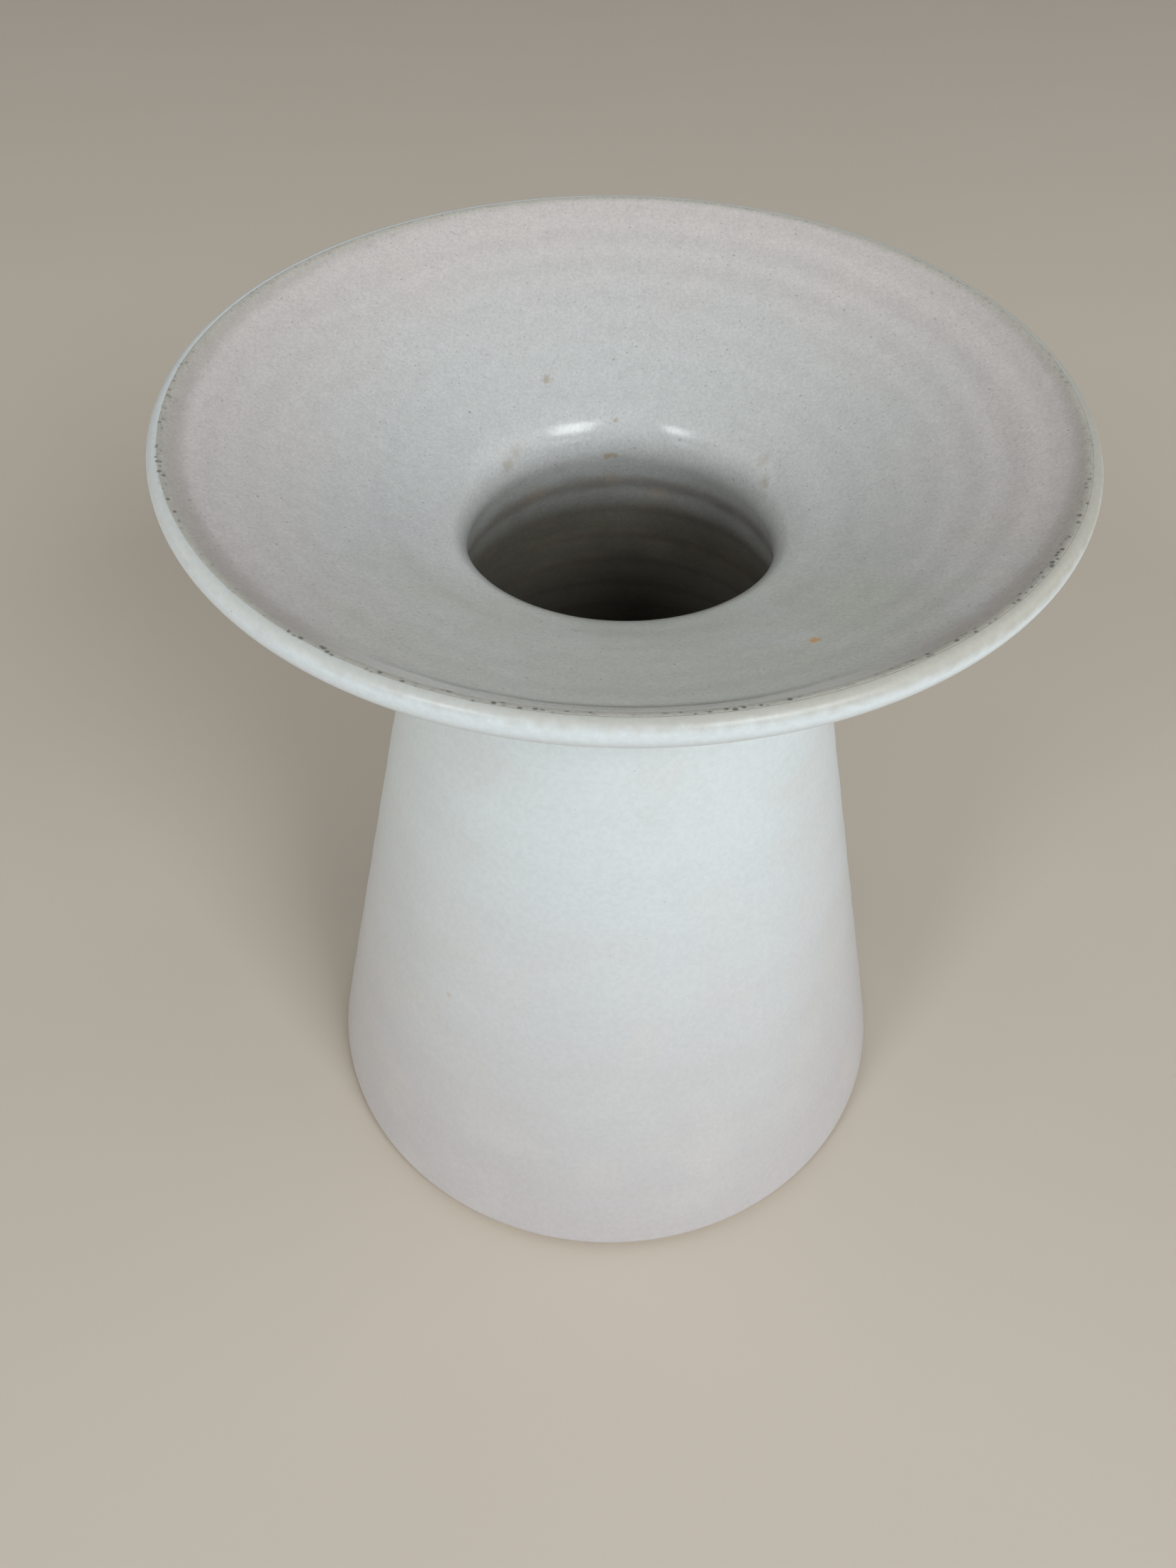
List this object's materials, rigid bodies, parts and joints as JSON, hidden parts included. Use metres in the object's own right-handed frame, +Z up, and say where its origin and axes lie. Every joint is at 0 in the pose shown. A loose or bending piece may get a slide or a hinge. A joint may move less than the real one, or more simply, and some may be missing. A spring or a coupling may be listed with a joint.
{
  "type": "vase",
  "caption": "Round stoneware vase with a tapering body on a foot ring, a narrow neck and a wide, shallow, flared collar, glazed inside and out.",
  "frame": {"origin": "centre of the foot, on the surface the vase stands on", "axes": "+Z up along the axis of revolution; X and Y are any two horizontal directions, because the vase is round"},
  "size_m": [0.12, 0.12, 0.1388],
  "materials": {
    "stoneware": "fired, unglazed, matte",
    "glaze_inside": "satin, pale grey-green with fine grey specks",
    "glaze_outside": "satin, white"
  },
  "bodies": {
    "root": {"thrown_body": "stoneware", "flared_collar": "stoneware", "inside_glaze": "glaze_inside", "outside_glaze": "glaze_outside"}
  },
  "joints": []
}
